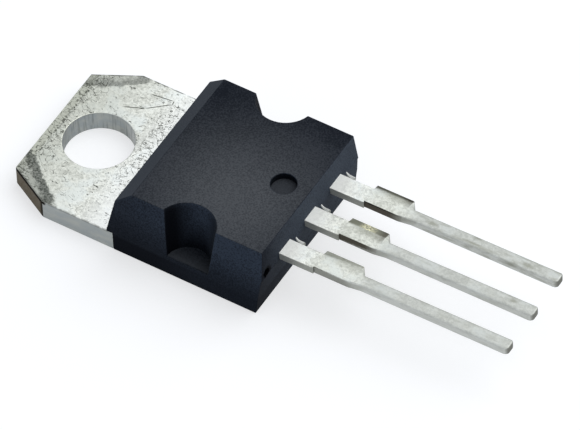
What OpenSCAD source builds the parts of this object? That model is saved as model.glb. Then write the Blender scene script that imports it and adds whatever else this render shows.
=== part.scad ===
// Power transistor in a moulded package with a heat-sink tab and three leads, lying on its back.
// The origin is where the axis of the mounting hole meets the back face.
// +X runs from the tab to the leads, and +Z points out of the front face.

/* [Tab] */
// Width of the tab, and of the body's skirt behind it
tab_w = 10.05; // [9.6:0.05:10.5]
// Thickness of the tab
tab_t = 1.27; // [1.1:0.01:1.4]
// Diameter of the mounting hole
hole_d = 3.85; // [3.5:0.05:4.1]
// Distance from the hole's axis to the end of the tab
tab_end = 2.8; // [2.5:0.05:3.2]
// Length of each corner cut along the tab
corner_l = 2.44; // [1.6:0.02:2.8]
// Width of each corner cut across the tab
corner_w = 1.29; // [0.8:0.01:1.6]

/* [Heat spreader] */
// Width of the spreader, the part of the tab inside the body
spreader_w = 7.2; // [6.4:0.1:7.4]
// Distance from the hole's axis to the end of the spreader
spreader_end = 10.1; // [9.6:0.05:10.4]
// Width of the undercut along the spreader's edges that keys it into the body
lock_w = 0.35; // [0.2:0.05:0.6]
// Height of the undercut above the back face
lock_h = 0.55; // [0.3:0.05:0.8]

/* [Body] */
// Height of the body above the back face
body_h = 4.48; // [4.3:0.02:4.7]
// Distance from the hole's axis to the body, on the tab's front face
body_start = 3.57; // [3.2:0.01:4]
// Distance from there to the skirt beside the spreader
skirt_setback = 0.4; // [0.2:0.05:0.6]
// Distance from the hole's axis to the body's lead end, at the mould line
body_end = 12.97; // [12.7:0.01:13.3]
// Height of the upright skirt below the drafted sides
skirt_h = 1.4; // [1.4:0.01:1.6]
// Draft angle of the sides above the skirt
side_draft = 7.8; // [6:0.1:10]
// Draft angle of the face that stands on the tab
tab_face_draft = 11; // [6:0.5:14]
// Draft angle of the lead end above the mould line
end_draft_upper = 3; // [1:0.1:5]
// Draft angle of the lead end below the mould line
end_draft_lower = 7; // [4:0.1:9]
// Step between the two mould halves along the mould line
mould_step = 0.04; // [0.02:0.01:0.1]
// Length of the bevel along the front edge at the tab
bevel_l = 1; // [0.6:0.05:1.3]
// Height of that bevel
bevel_h = 0.88; // [0.5:0.02:1.2]

/* [Moulded details] */
// Distance from the hole's axis to the half-round side notches
notch_x = 8.52; // [7.8:0.02:9]
// Radius of each notch at the front face
notch_r = 1.62; // [1.4:0.02:1.8]
// Radius of each notch at its floor
notch_floor_r = 1.24; // [1:0.02:1.3]
// Distance from the lead end to the centre of the round dimple in the front face
dimple_setback = 1.57; // [1.3:0.01:2]
// Diameter of the dimple
dimple_d = 1.4; // [1:0.05:1.8]
// Depth of the dimple
dimple_depth = 0.42; // [0.1:0.02:0.5]
// Distance of the pit at the moulding gate from the middle of the lead end
gate_y = 4.4; // [4:0.05:4.45]
// Height of the pit's middle above the mould line
gate_rise = 0.27; // [0.2:0.01:0.4]
// Diameter of the pit
gate_d = 0.54; // [0.4:0.02:0.6]
// Depth of the pit
gate_depth = 0.2; // [0.1:0.02:0.3]
// Length of the torn groove along the mould line from the pit's middle
tear_l = 0.95; // [0.6:0.05:1]
// Height of the torn groove
tear_h = 0.12; // [0.08:0.01:0.2]
// Depth of the torn groove
tear_depth = 0.1; // [0.05:0.01:0.2]

/* [Leads] */
// Distance between the leads
lead_pitch = 2.54; // [2.4:0.02:2.7]
// Thickness of the leads
lead_t = 0.5; // [0.45:0.01:0.6]
// Height of the leads' front face above the back face, at the body
lead_top = 3.05; // [2.9:0.01:3.2]
// Length of each lead outside the body
lead_l = 13.4; // [12.8:0.05:14]
// Angle by which the leads rise on their way out from the body
lead_tilt = 0.8; // [0:0.1:2]
// Width of the root next to the body
root_w = 1.1; // [1:0.01:1.2]
// Length of the root outside the body
root_l = 2; // [1.6:0.05:2.4]
// Length of the stub where the tie bar was sheared off
stub_l = 2.2; // [1.8:0.05:2.6]
// Distance from the lead's middle to the stub's cut on the base side
stub_near = 0.46; // [0.4:0.01:0.6]
// Distance from the lead's middle to the stub's cut on the emitter side
stub_far = 0.92; // [0.8:0.01:1]
// Width of the edge that the shear rolled over on the emitter side
roll_w = 0.5; // [0.3:0.02:0.52]
// Drop of the rolled edge
roll_h = 0.16; // [0.08:0.01:0.3]
// Length of the taper from the stub to the pin
shoulder_l = 0.36; // [0.2:0.02:0.5]
// Width of the pin
pin_w = 0.8; // [0.7:0.01:0.9]
// Length of the corner cuts at the pin's tip
tip_cut = 0.16; // [0.06:0.01:0.24]

/* [Bond posts and neck] */
// Width of each bond post, the inner end of a side lead
post_w = 2; // [1.6:0.05:2.2]
// Length of each bond post
post_l = 1.7; // [1.4:0.05:2]
// Distance from the lead end to the middle of the posts
post_setback = 1.85; // [1.6:0.05:2.1]
// Length of the middle lead's straight stretch inside the body
neck_straight = 0.7; // [0.5:0.05:0.9]
// Length of its straight foot past the spreader
neck_foot = 0.2; // [0.1:0.05:0.3]
// Bend radius of its neck, at mid thickness
neck_r = 0.55; // [0.45:0.05:0.65]

/* [Chip and wires] */
// Distance from the hole's axis to the middle of the chip
die_x = 6.9; // [6.4:0.05:7.4]
// Side of the square chip
die_w = 3.2; // [2.6:0.1:3.6]
// Thickness of the chip
die_t = 0.25; // [0.2:0.01:0.3]
// Thickness of the solder under the chip
solder_t = 0.06; // [0.04:0.01:0.1]
// Width of the solder that shows around the chip
solder_margin = 0.15; // [0.08:0.01:0.25]
// Distance from the chip's middle to its bond pads, along the transistor
pad_x = 0.6; // [0.3:0.05:0.9]
// Distance from the chip's middle to its bond pads, to either side
pad_y = 0.75; // [0.6:0.05:0.9]
// Diameter of the base wire
base_wire_d = 0.25; // [0.2:0.01:0.3]
// Diameter of the emitter wire
emitter_wire_d = 0.38; // [0.3:0.01:0.42]
// Length of the wires' flattened feet
wire_foot_l = 0.7; // [0.5:0.05:0.8]
// Rise of the wires' crest above their feet on the posts
loop_rise = 0.42; // [0.25:0.01:0.5]
// Distance over which the wires come down from the crest to the posts
loop_fall = 0.85; // [0.7:0.05:1.1]

/* [Hidden] */
$fn = 64;

// Overrun of a cutting shape past the face that it cuts, and overlap of stretches of one piece
over = 0.5;
// Height and width of a wire's flattened foot, in wire diameters
foot_h = 0.8;
foot_w = 1.5;
// Number of flats that each bend of the neck is made of
bend_steps = 8;

base_y = -lead_pitch;
emitter_y = lead_pitch;
lead_under = lead_top - lead_t;
mould_line = lead_under;
skirt_start = body_start + skirt_setback;
front_w = tab_w - 2 * (body_h - skirt_h) * tan(side_draft);
bevel_foot_z = body_h - bevel_h;
bevel_foot_x = body_start + (bevel_foot_z - tab_t) * tan(tab_face_draft);
front_end = body_end - (body_h - mould_line) * tan(end_draft_upper);
lower_end = body_end - mould_step;
back_end = lower_end - mould_line * tan(end_draft_lower);
neck_start = spreader_end + neck_foot;
neck_run = body_end - neck_straight - neck_start;
solder_w = die_w + 2 * solder_margin;
die_bottom = tab_t + solder_t;
die_top = die_bottom + die_t;
post_x = body_end - post_setback;

// Steepest angle of an S-shaped run of two equal bends joined by a tangent
function slope_of(run, rise, r) = atan2(rise - 2 * r, run) + asin(2 * r / norm([run, rise - 2 * r]));

// Points on an arc about a centre, counted from straight below it; a negative radius counts from above
function arc_points(centre, r, from, to) = [
  for (i = [0:bend_steps])
    let (a = from + (to - from) * i / bend_steps)
    centre + r * [sin(a), -cos(a)]
];

// Extrudes an outline drawn in X and Z evenly to both sides of the XZ plane
module across(width) {
  rotate([90, 0, 0])
    linear_extrude(width, center = true)
      children();
}

// Extrudes an outline drawn in Y and Z along +X
module along(length) {
  rotate([90, 0, 90])
    linear_extrude(length)
      children();
}

module tab_outline() {
  half = tab_w / 2;
  polygon([
    [-tab_end, -half + corner_w],
    [-tab_end + corner_l, -half],
    [skirt_start, -half],
    [skirt_start, half],
    [-tab_end + corner_l, half],
    [-tab_end, half - corner_w]
  ]);
}

module spreader() {
  length = spreader_end - skirt_start;
  translate([skirt_start - over, -spreader_w / 2 + lock_w, 0])
    cube([length + over - lock_w, spreader_w - 2 * lock_w, tab_t]);
  translate([skirt_start - over, -spreader_w / 2, lock_h])
    cube([length + over, spreader_w, tab_t - lock_h]);
}

// The free end of a lead: its root, the stub of the sheared tie bar, and the pin, from the lead end on
module free_lead() {
  stub_end = root_l + stub_l;
  pin_start = stub_end + shoulder_l;
  translate([body_end, 0, lead_under])
    rotate([0, -lead_tilt, 0])
      difference() {
        linear_extrude(lead_t)
          polygon([
            [0, -root_w / 2],
            [root_l, -root_w / 2],
            [root_l, -stub_near],
            [stub_end, -stub_near],
            [pin_start, -pin_w / 2],
            [lead_l - tip_cut, -pin_w / 2],
            [lead_l, -pin_w / 2 + tip_cut],
            [lead_l, pin_w / 2 - tip_cut],
            [lead_l - tip_cut, pin_w / 2],
            [pin_start, pin_w / 2],
            [stub_end, stub_far],
            [root_l, stub_far],
            [root_l, root_w / 2],
            [0, root_w / 2]
          ]);
        translate([root_l, 0, lead_t])
          along(stub_l + shoulder_l)
            polygon([
              [stub_far - roll_w, 0],
              [stub_far, -roll_h],
              [stub_far + over, -roll_h],
              [stub_far + over, 0]
            ]);
      }
}

// A side lead with its bond post inside the body
module side_lead() {
  free_lead();
  translate([post_x, -root_w / 2, lead_under])
    cube([post_setback, root_w, lead_t]);
  translate([post_x - post_l / 2, -post_w / 2, lead_under])
    cube([post_l, post_w, lead_t]);
}

// The middle lead's neck, which climbs from the spreader to the level of the leads
module neck() {
  half_t = lead_t / 2;
  lower_centre = [neck_start, tab_t - half_t + neck_r];
  upper_centre = [neck_start + neck_run, lead_top - half_t - neck_r];
  slope = slope_of(neck_run, lead_top - tab_t, neck_r);
  across(root_w)
    polygon(concat(
      [[spreader_end - over, tab_t]],
      arc_points(lower_centre, neck_r - half_t, 0, slope),
      arc_points(upper_centre, -neck_r - half_t, slope, 0),
      [[body_end, lead_top], [body_end, lead_under]],
      arc_points(upper_centre, -neck_r + half_t, 0, slope),
      arc_points(lower_centre, neck_r + half_t, slope, 0),
      [[spreader_end - over, tab_t - lead_t]]
    ));
}

// A bond wire from a pad on the chip to a post, arched, with a flattened foot on each
module bond_wire(d, from, to) {
  span = norm([to.x - from.x, to.y - from.y]);
  rise = to.z - from.z;
  // Sinks from the crest, where the wire is level, over a run along +X
  module arch(run, drop) {
    r = (run * run + drop * drop) / (2 * drop);
    translate([0, 0, -r])
      rotate([90, 0, 0])
        rotate([0, 0, 90])
          mirror([0, 1, 0])
            rotate_extrude(angle = 2 * atan2(drop, run))
              translate([r, 0])
                circle(d = d);
  }
  module foot() {
    linear_extrude(d * foot_h)
      square([wire_foot_l, d * foot_w], center = true);
  }
  translate(from)
    rotate([0, 0, atan2(to.y - from.y, to.x - from.x)]) {
      foot();
      translate([span, 0, rise])
        foot();
      translate([span - loop_fall, 0, rise + d / 2 + loop_rise]) {
        arch(loop_fall, loop_rise);
        mirror([1, 0, 0])
          arch(span - loop_fall, rise + loop_rise);
      }
    }
}

// The outer form of the moulding, filled solid
module body_form() {
  intersection() {
    across(tab_w)
      polygon([
        [skirt_start, 0],
        [back_end, 0],
        [lower_end, mould_line],
        [body_end, mould_line],
        [front_end, body_h],
        [bevel_foot_x + bevel_l, body_h],
        [bevel_foot_x, bevel_foot_z],
        [body_start, tab_t],
        [skirt_start, tab_t]
      ]);
    along(body_end + over)
      polygon([
        [-tab_w / 2, 0],
        [tab_w / 2, 0],
        [tab_w / 2, skirt_h],
        [front_w / 2, body_h],
        [-front_w / 2, body_h],
        [-tab_w / 2, skirt_h]
      ]);
  }
}

module side_notches() {
  depth = body_h - skirt_h;
  flare = (notch_r - notch_floor_r) / depth;
  for (side = [-1, 1])
    translate([notch_x, side * tab_w / 2, skirt_h])
      cylinder(r1 = notch_floor_r, r2 = notch_r + flare * over, h = depth + over);
}

module dimple() {
  translate([body_end - dimple_setback, 0, body_h - dimple_depth])
    cylinder(d = dimple_d, h = dimple_depth + over);
}

module gate_scar() {
  translate([body_end - gate_depth, -gate_y, mould_line + gate_rise])
    rotate([0, 90, 0])
      cylinder(d = gate_d, h = gate_depth + over);
  translate([body_end - tear_depth, -gate_y, mould_line])
    cube([tear_depth + over, tear_l, tear_h]);
}

module moulded_body() {
  color("#34363b")
    difference() {
      body_form();
      side_notches();
      dimple();
      gate_scar();
      tab_with_collector_lead();
      base_lead();
      emitter_lead();
      silicon_die();
      die_solder();
      base_bond_wire();
      emitter_bond_wire();
    }
}

module tab_with_collector_lead() {
  color("#dcdfd8")
    difference() {
      union() {
        linear_extrude(tab_t)
          tab_outline();
        spreader();
        neck();
        free_lead();
      }
      translate([0, 0, -over])
        cylinder(d = hole_d, h = tab_t + 2 * over);
    }
}

module base_lead() {
  color("#d4d8d2")
    translate([0, base_y, 0])
      side_lead();
}

module emitter_lead() {
  color("#d4d8d2")
    translate([0, emitter_y, 0])
      side_lead();
}

module silicon_die() {
  color("#5b6470")
    translate([die_x - die_w / 2, -die_w / 2, die_bottom])
      cube([die_w, die_w, die_t]);
}

module die_solder() {
  color("#9a9da1")
    translate([die_x - solder_w / 2, -solder_w / 2, tab_t])
      cube([solder_w, solder_w, solder_t]);
}

module base_bond_wire() {
  color("#c9ccd0")
    bond_wire(base_wire_d, [die_x + pad_x, -pad_y, die_top], [post_x, base_y, lead_top]);
}

module emitter_bond_wire() {
  color("#c9ccd0")
    bond_wire(emitter_wire_d, [die_x + pad_x, pad_y, die_top], [post_x, emitter_y, lead_top]);
}

moulded_body();
tab_with_collector_lead();
base_lead();
emitter_lead();
silicon_die();
die_solder();
base_bond_wire();
emitter_bond_wire();
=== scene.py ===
import math

import bmesh
import bpy
from mathutils import Matrix, Vector


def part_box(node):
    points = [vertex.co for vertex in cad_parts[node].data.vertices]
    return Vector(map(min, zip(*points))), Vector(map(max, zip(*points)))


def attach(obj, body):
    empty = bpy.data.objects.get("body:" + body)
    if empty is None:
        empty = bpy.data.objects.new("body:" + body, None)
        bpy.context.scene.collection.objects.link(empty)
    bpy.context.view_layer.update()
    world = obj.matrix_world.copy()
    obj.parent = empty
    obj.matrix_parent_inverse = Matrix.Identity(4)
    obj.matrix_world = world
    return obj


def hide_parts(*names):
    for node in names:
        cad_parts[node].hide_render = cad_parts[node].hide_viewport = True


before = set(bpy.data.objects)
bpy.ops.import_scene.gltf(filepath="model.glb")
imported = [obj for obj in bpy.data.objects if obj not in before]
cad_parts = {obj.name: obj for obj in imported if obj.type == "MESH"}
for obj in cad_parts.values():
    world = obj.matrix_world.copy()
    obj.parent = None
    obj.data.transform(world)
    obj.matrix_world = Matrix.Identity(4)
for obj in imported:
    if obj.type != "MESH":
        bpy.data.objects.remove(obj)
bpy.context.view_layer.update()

mm = 0.001

# places in the frame that several pieces share
bodyLow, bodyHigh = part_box("moulded_body")
tabLow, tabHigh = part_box("tab_with_collector_lead")
baseLow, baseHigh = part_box("base_lead")
emitterLow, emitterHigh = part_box("emitter_lead")
baseRow = (baseLow.y + baseHigh.y) / 2
emitterRow = (emitterLow.y + emitterHigh.y) / 2
leadPitch = (emitterRow - baseRow) / 2
tabTop = 1.27 * mm
leadTop = 3.05 * mm  # at the body, from where the leads rise a little
leadSlope = math.tan(math.radians(0.8))
same = 0.01 * mm  # places closer than this count as one
print("frame loaded:", len(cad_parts), "nodes")


def linearFromHex(code):
    channels = [int(code[i:i + 2], 16) / 255 for i in (1, 3, 5)]
    return [c / 12.92 if c <= 0.04045 else ((c + 0.055) / 1.055) ** 2.4 for c in channels] + [1.0]


def addNode(tree, kind, feeds, out=0, **settings):
    # adds one node, sets or links its inputs, given in order or by name, and hands back one output,
    # or all of them for out=None
    node = tree.nodes.new("ShaderNode" + kind)
    for name, value in settings.items():
        setattr(node, name, value)
    for socket, value in feeds.items() if isinstance(feeds, dict) else enumerate(feeds):
        if isinstance(value, bpy.types.NodeSocket):
            tree.links.new(value, node.inputs[socket])
        else:
            node.inputs[socket].default_value = value
    return node.outputs if out is None else node.outputs[out]


def startMaterial(name):
    material = bpy.data.materials.new(name)
    material.use_nodes = True
    tree = material.node_tree
    return material, tree, tree.nodes["Principled BSDF"]


def layColors(tree, look, base, layers):
    # paints each named colour of the look through its mask over what lies below it
    color = linearFromHex(look[base])
    for mask, name in layers:
        paint = linearFromHex(look[name])
        color = addNode(tree, "Mix", {0: mask, 6: color, 7: paint}, out=2, data_type="RGBA")
    return color


def scalesFor(sizes):
    return [1 / (size * mm) for size in sizes]


def focusOn(piece):
    bpy.ops.object.select_all(action="DESELECT")
    bpy.context.view_layer.objects.active = piece
    piece.select_set(True)


meshing = dict(
    merge=0.0002 * mm,  # corners of loose triangles that belong together
    flat=math.radians(0.3),  # triangles this even become one face
    smooth=math.radians(35),
)


def cadCopy(nodeName, pieceName):
    # a merged copy of a node's mesh, with its flat faces made whole again
    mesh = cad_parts[nodeName].data.copy()
    mesh.materials.clear()
    piece = bpy.data.objects.new(pieceName, mesh)
    bpy.context.collection.objects.link(piece)
    focusOn(piece)
    bpy.ops.mesh.customdata_custom_splitnormals_clear()
    bpy.ops.object.mode_set(mode="EDIT")
    bpy.ops.mesh.select_all(action="SELECT")
    bpy.ops.mesh.remove_doubles(threshold=meshing["merge"])
    bpy.ops.mesh.dissolve_limited(angle_limit=meshing["flat"])
    bpy.ops.object.mode_set(mode="OBJECT")
    return piece


def roundEdges(piece, radiusAt, largest, segments=3):
    # rounds the outer edges by the radius that radiusAt gives for each edge's two ends
    work = bmesh.new()
    work.from_mesh(piece.data)
    weight = work.edges.layers.float.new("bevel_weight_edge")
    for edge in work.edges:
        if len(edge.link_faces) == 2 and edge.is_convex:
            angle = edge.calc_face_angle()
            edge[weight] = radiusAt(edge.verts[0].co, edge.verts[1].co, angle) / largest
    work.to_mesh(piece.data)
    work.free()
    focusOn(piece)
    rounding = piece.modifiers.new("rounding", "BEVEL")
    rounding.limit_method = "WEIGHT"
    rounding.width = largest
    rounding.segments = segments
    rounding.use_clamp_overlap = False
    bpy.ops.object.modifier_apply(modifier="rounding")


def smoothFaces(piece):
    focusOn(piece)
    bpy.ops.object.shade_smooth_by_angle(angle=meshing["smooth"])
    evening = piece.modifiers.new("evening", "WEIGHTED_NORMAL")
    evening.keep_sharp = True
    bpy.ops.object.modifier_apply(modifier="evening")


def finishPiece(piece, nodeName, material):
    smoothFaces(piece)
    piece.data.materials.clear()
    piece.data.materials.append(material)
    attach(piece, "root")
    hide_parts(nodeName)
    print("piece done:", piece.name, len(piece.data.polygons), "faces")


# moulded body
bodyEdges = dict(
    front=0.05 * mm,  # rim of the front face, the notches and the dimple
    side=0.05 * mm,  # upright corners and notch edges
    bevel=0.04 * mm,  # foot of the bevel over the tab
    back=0.03 * mm,  # rim of the back face
    sideReach=4.4 * mm,  # edges farther out than this are outer corners
    exitDepth=0.3 * mm,  # the end wall round the leads and the gate keeps sharp edges
    exitHeights=(2.3 * mm, 3.2 * mm),
    exitReach=4.75 * mm,
    backEnd=0.6 * mm,
    bevelLength=0.8 * mm,
    bevelFoot=3 * mm,
    sharpest=math.radians(12),
)


def bodyRadius(a, b, angle):
    edges = bodyEdges
    middle = (a + b) / 2
    exitLow, exitHigh = edges["exitHeights"]
    inEnd = middle.x > bodyHigh.x - edges["exitDepth"]
    atExit = inEnd and exitLow < middle.z < exitHigh and abs(middle.y) < edges["exitReach"]
    onTab = abs(middle.z - tabTop) < same
    if angle < edges["sharpest"] or atExit or onTab:
        return 0.0
    if min(a.z, b.z) > bodyHigh.z - same:
        return edges["front"]
    if max(a.z, b.z) < same:
        atRim = abs(middle.y) > edges["sideReach"] or middle.x > bodyHigh.x - edges["backEnd"]
        return edges["back"] if atRim else 0.0
    if abs(middle.y) > edges["sideReach"]:
        return edges["side"]
    if middle.x < bodyLow.x + edges["bevelLength"] and middle.z > edges["bevelFoot"]:
        return edges["bevel"]
    return 0.0


# filled epoxy compound from a spark-eroded mould: blue-black and matte with a faint grain, with painted light
# on the front and on the wall by the leads, painted shading down the sides, and near black painted shade in
# the notches
skirtTop = 1.4 * mm  # where the drafted sides begin
epoxy = dict(
    dark="#1a1e25",
    light="#2e3239",
    # painted light: a sheen on the front, and light on the floors of the notches and the dimple
    paintedLight="#515458",
    # painted light on the bevel over the tab
    bevel="#4b5057",
    # painted shading on the long sides
    side="#404a59",
    # painted light on the wall by the leads
    end="#454c56",
    # painted shade on the skirt and in the end wall's near lower corner
    skirt="#090c14",
    paintedShade="#06070b",  # painted shade inside the notches and the dimple
    pit="#040508",
    rough=0.6,
    roughGrain=0.08,
    bump=0.3,
    bumpHeight=0.02 * mm,
    ior=1.5,
    specular=0.02,
    grain=0.085 * mm,  # coarser than the real grit, so that it shows
    grainShare=1.6,
    cloud=2.6 * mm,
    sheenAt=Vector((9.6, -2.2, 4.48)) * mm,
    notchAt=Vector((8.52, 5.025, 0.0)) * mm,
    dimpleAt=Vector((11.4, 0.0, 0.0)) * mm,
    dimpleReach=0.8 * mm,
    dimpleFloorLight=0.42,
    paintedShadeMost=0.9,
    sideDraft=math.tan(math.radians(7.8)),
    gateAt=Vector((12.97, -4.32, 2.8)) * mm,
    gateRagged=0.3 * mm,
    overSkirt=-0.8,
)
# from one value or place to another, and how strong the mask is at each
epoxyRanges = dict(
    tone=(1.08, 1.52),
    near=(0.0, 7.6 * mm, 1.0, 0.0),
    upward=(0.9, 0.99),
    atFront=(bodyHigh.z - 0.1 * mm, bodyHigh.z - 0.05 * mm),
    gritty=(0.35, 0.65, 0.6, 1.15),
    skirt=(skirtTop - 0.35 * mm, skirtTop + 0.05 * mm, 0.85, 0.0),
    notch=(1.58 * mm, 1.7 * mm, 1.0, 0.0),
    notchWithin=(bodyHigh.y - 0.1 * mm, bodyHigh.y - 0.03 * mm, 1.0, 0.0),
    notchFloorLight=(bodyHigh.y - 1.3 * mm, bodyHigh.y - 0.15 * mm, -0.1, 0.5),
    notchByTab=(0.1, 0.8, 0.1, 1.0),
    notchByLeads=(-0.1, -0.6, 0.0, 0.75),
    notchDeep=(bodyHigh.z - 0.6 * mm, skirtTop + 0.3 * mm, 0.0, 0.85),
    dimpleSunk=(bodyHigh.z - 0.04 * mm, bodyHigh.z - 0.01 * mm, 0.9, 0.0),
    dimpleWall=(0.4, 0.8, 1.0, 0.0),
    sideways=(0.5, 0.8),
    skirtMiddle=(6.5 * mm, 9.0 * mm, 0.0, 0.3),
    sideFoot=(skirtTop, skirtTop + 1.8 * mm, 0.4, 0.0),
    sideByLeads=(3.4 * mm, 9.5 * mm, 0.2, 0.85),
    sideFall=(skirtTop, skirtTop + 2.2 * mm, 0.4, 1.1),
    sideGrit=(0.36, 0.64, 0.45, 1.45),
    bevelLight=(-0.3, -0.6, 0.0, 0.7),
    endWall=(0.6, 0.95),
    endAcross=(bodyLow.y, bodyLow.y + 4.0 * mm, 0.0, 0.95),
    endCorner=(bodyLow.y, bodyLow.y + 1.8 * mm, 0.65, 0.0),
    gate=(0.45 * mm, 0.6 * mm, 1.0, 0.0),
)


def makeEpoxy():
    look, ranges = epoxy, epoxyRanges
    material, tree, shader = startMaterial("matteEpoxyMoulding")
    place = addNode(tree, "TexCoord", (), out=None)
    point = place["Object"]
    at = addNode(tree, "SeparateXYZ", (point,), out=None)
    facing = addNode(tree, "SeparateXYZ", (place["Normal"],), out=None)
    cloud = addNode(tree, "TexNoise", {"Vector": point, "Scale": 1 / look["cloud"], "Detail": 4.0})
    grain = addNode(tree, "TexNoise", {"Vector": point, "Scale": 1 / look["grain"], "Detail": 2.0})
    both = addNode(tree, "Math", (grain, look["grainShare"], cloud), operation="MULTIPLY_ADD")
    tone = addNode(tree, "MapRange", (both, *ranges["tone"]))

    # painted sheen on the front, palest round one spot
    reach = addNode(tree, "VectorMath", (point, look["sheenAt"]), out=1, operation="DISTANCE")
    near = addNode(tree, "MapRange", (reach, *ranges["near"]), interpolation_type="SMOOTHSTEP")
    upward = addNode(tree, "MapRange", (facing[2], *ranges["upward"]))
    atFront = addNode(tree, "MapRange", (at[2], *ranges["atFront"]))
    front = addNode(tree, "Math", (upward, atFront), operation="MULTIPLY")
    paintedLight = addNode(tree, "Math", (near, front), operation="MULTIPLY")
    gritty = addNode(tree, "MapRange", (grain, *ranges["gritty"]))
    paintedLight = addNode(tree, "Math", (paintedLight, gritty), operation="MULTIPLY", use_clamp=True)
    skirtShade = addNode(tree, "MapRange", (at[2], *ranges["skirt"]))

    # painted shade in the notches, darker with depth and on the walls that face along the body, and painted
    # light on the floor towards its rim
    across = addNode(tree, "Math", (at[1],), operation="ABSOLUTE")
    flat = addNode(tree, "CombineXYZ", (at[0], across))
    toNotch = addNode(tree, "VectorMath", (flat, look["notchAt"]), out=1, operation="DISTANCE")
    paintedShade = addNode(tree, "MapRange", (toNotch, *ranges["notch"]))
    notFront = addNode(tree, "Math", (look["paintedShadeMost"], front), operation="SUBTRACT", use_clamp=True)
    paintedShade = addNode(tree, "Math", (paintedShade, notFront), operation="MULTIPLY")
    rise = addNode(tree, "Math", (at[2], skirtTop), operation="SUBTRACT")
    rise = addNode(tree, "Math", (rise, 0.0), operation="MAXIMUM")
    outward = addNode(tree, "Math", (rise, look["sideDraft"], across), operation="MULTIPLY_ADD")
    within = addNode(tree, "MapRange", (outward, *ranges["notchWithin"]))
    paintedShade = addNode(tree, "Math", (paintedShade, within), operation="MULTIPLY")
    notchFloorLight = addNode(tree, "Math", (paintedShade, upward), operation="MULTIPLY")
    byRim = addNode(tree, "MapRange", (outward, *ranges["notchFloorLight"]))
    notchFloorLight = addNode(tree, "Math", (notchFloorLight, byRim), operation="MULTIPLY", use_clamp=True)
    shaded = addNode(tree, "MapRange", (facing[0], *ranges["notchByTab"]))
    byLeads = addNode(tree, "MapRange", (facing[0], *ranges["notchByLeads"]))
    shaded = addNode(tree, "Math", (shaded, byLeads), operation="MAXIMUM")
    deep = addNode(tree, "MapRange", (at[2], *ranges["notchDeep"]))
    shaded = addNode(tree, "Math", (shaded, deep), operation="MAXIMUM")
    shaded = addNode(tree, "Math", (shaded, upward), operation="SUBTRACT", use_clamp=True)
    paintedShade = addNode(tree, "Math", (paintedShade, shaded), operation="MULTIPLY")

    # the dimple: painted light on its floor, painted shade on its wall
    toDimple = addNode(tree, "VectorMath", (flat, look["dimpleAt"]), out=1, operation="DISTANCE")
    sunk = addNode(tree, "MapRange", (at[2], *ranges["dimpleSunk"]))
    inDimple = addNode(tree, "Math", (toDimple, look["dimpleReach"]), operation="LESS_THAN")
    inDimple = addNode(tree, "Math", (inDimple, sunk), operation="MULTIPLY")
    dimpleFloorLight = addNode(tree, "Math", (inDimple, upward), operation="MULTIPLY")
    dimpleFloorLight = addNode(tree, "Math", (dimpleFloorLight, look["dimpleFloorLight"]), operation="MULTIPLY")
    wall = addNode(tree, "MapRange", (facing[2], *ranges["dimpleWall"]))
    inDimple = addNode(tree, "Math", (inDimple, wall), operation="MULTIPLY")
    paintedShade = addNode(tree, "Math", (paintedShade, inDimple), operation="MAXIMUM")

    # painted shading on the long sides, paler higher up and towards the leads, and painted shade on the
    # skirt, less in its middle and spreading up the foot of the sides
    sideways = addNode(tree, "Math", (facing[1],), operation="ABSOLUTE")
    sideways = addNode(tree, "MapRange", (sideways, *ranges["sideways"]))
    middle = addNode(tree, "MapRange", (at[0], *ranges["skirtMiddle"]))
    middle = addNode(tree, "Math", (middle, sideways), operation="MULTIPLY")
    skirtShade = addNode(tree, "Math", (skirtShade, middle), operation="SUBTRACT", use_clamp=True)
    foot = addNode(tree, "MapRange", (at[2], *ranges["sideFoot"]))
    foot = addNode(tree, "Math", (foot, sideways), operation="MULTIPLY")
    skirtShade = addNode(tree, "Math", (skirtShade, foot), operation="MAXIMUM")
    for source, name in ((at[0], "sideByLeads"), (at[2], "sideFall")):
        mask = addNode(tree, "MapRange", (source, *ranges[name]))
        sideways = addNode(tree, "Math", (sideways, mask), operation="MULTIPLY")
    sideGrit = addNode(tree, "MapRange", (grain, *ranges["sideGrit"]))
    sideways = addNode(tree, "Math", (sideways, sideGrit), operation="MULTIPLY", use_clamp=True)

    # painted light on the bevel over the tab and on the wall by the leads, painted shade in that wall's near
    # lower corner, and the torn gate in its corner
    bevelLight = addNode(tree, "MapRange", (facing[0], *ranges["bevelLight"]))
    endWall = addNode(tree, "MapRange", (facing[0], *ranges["endWall"]))
    endAcross = addNode(tree, "MapRange", (at[1], *ranges["endAcross"]))
    endWallLight = addNode(tree, "Math", (endWall, endAcross), operation="MULTIPLY")
    endWallLight = addNode(tree, "Math", (endWallLight, gritty), operation="MULTIPLY", use_clamp=True)
    skirtShade = addNode(tree, "Math", (endWallLight, look["overSkirt"], skirtShade), operation="MULTIPLY_ADD", use_clamp=True)
    endCorner = addNode(tree, "MapRange", (at[1], *ranges["endCorner"]))
    endCorner = addNode(tree, "Math", (endCorner, endWall), operation="MULTIPLY")
    skirtShade = addNode(tree, "Math", (skirtShade, endCorner), operation="MAXIMUM")
    toGate = addNode(tree, "VectorMath", (point, look["gateAt"]), out=1, operation="DISTANCE")
    toGate = addNode(tree, "Math", (grain, look["gateRagged"], toGate), operation="MULTIPLY_ADD")
    torn = addNode(tree, "MapRange", (toGate, *ranges["gate"]))

    color = layColors(tree, look, "dark", (
        (tone, "light"), (paintedLight, "paintedLight"), (dimpleFloorLight, "paintedLight"), (notchFloorLight, "paintedLight"), (bevelLight, "bevel"),
        (sideways, "side"), (endWallLight, "end"), (skirtShade, "skirt"), (paintedShade, "paintedShade"), (torn, "pit")))
    rough = addNode(tree, "Math", (grain, look["roughGrain"], look["rough"]), operation="MULTIPLY_ADD")
    bump = addNode(tree, "Bump", {"Height": grain, "Strength": look["bump"], "Distance": look["bumpHeight"]})
    tree.links.new(color, shader.inputs["Base Color"])
    tree.links.new(rough, shader.inputs["Roughness"])
    tree.links.new(bump, shader.inputs["Normal"])
    shader.inputs["IOR"].default_value = look["ior"]
    shader.inputs["Specular IOR Level"].default_value = look["specular"]
    return material


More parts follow.
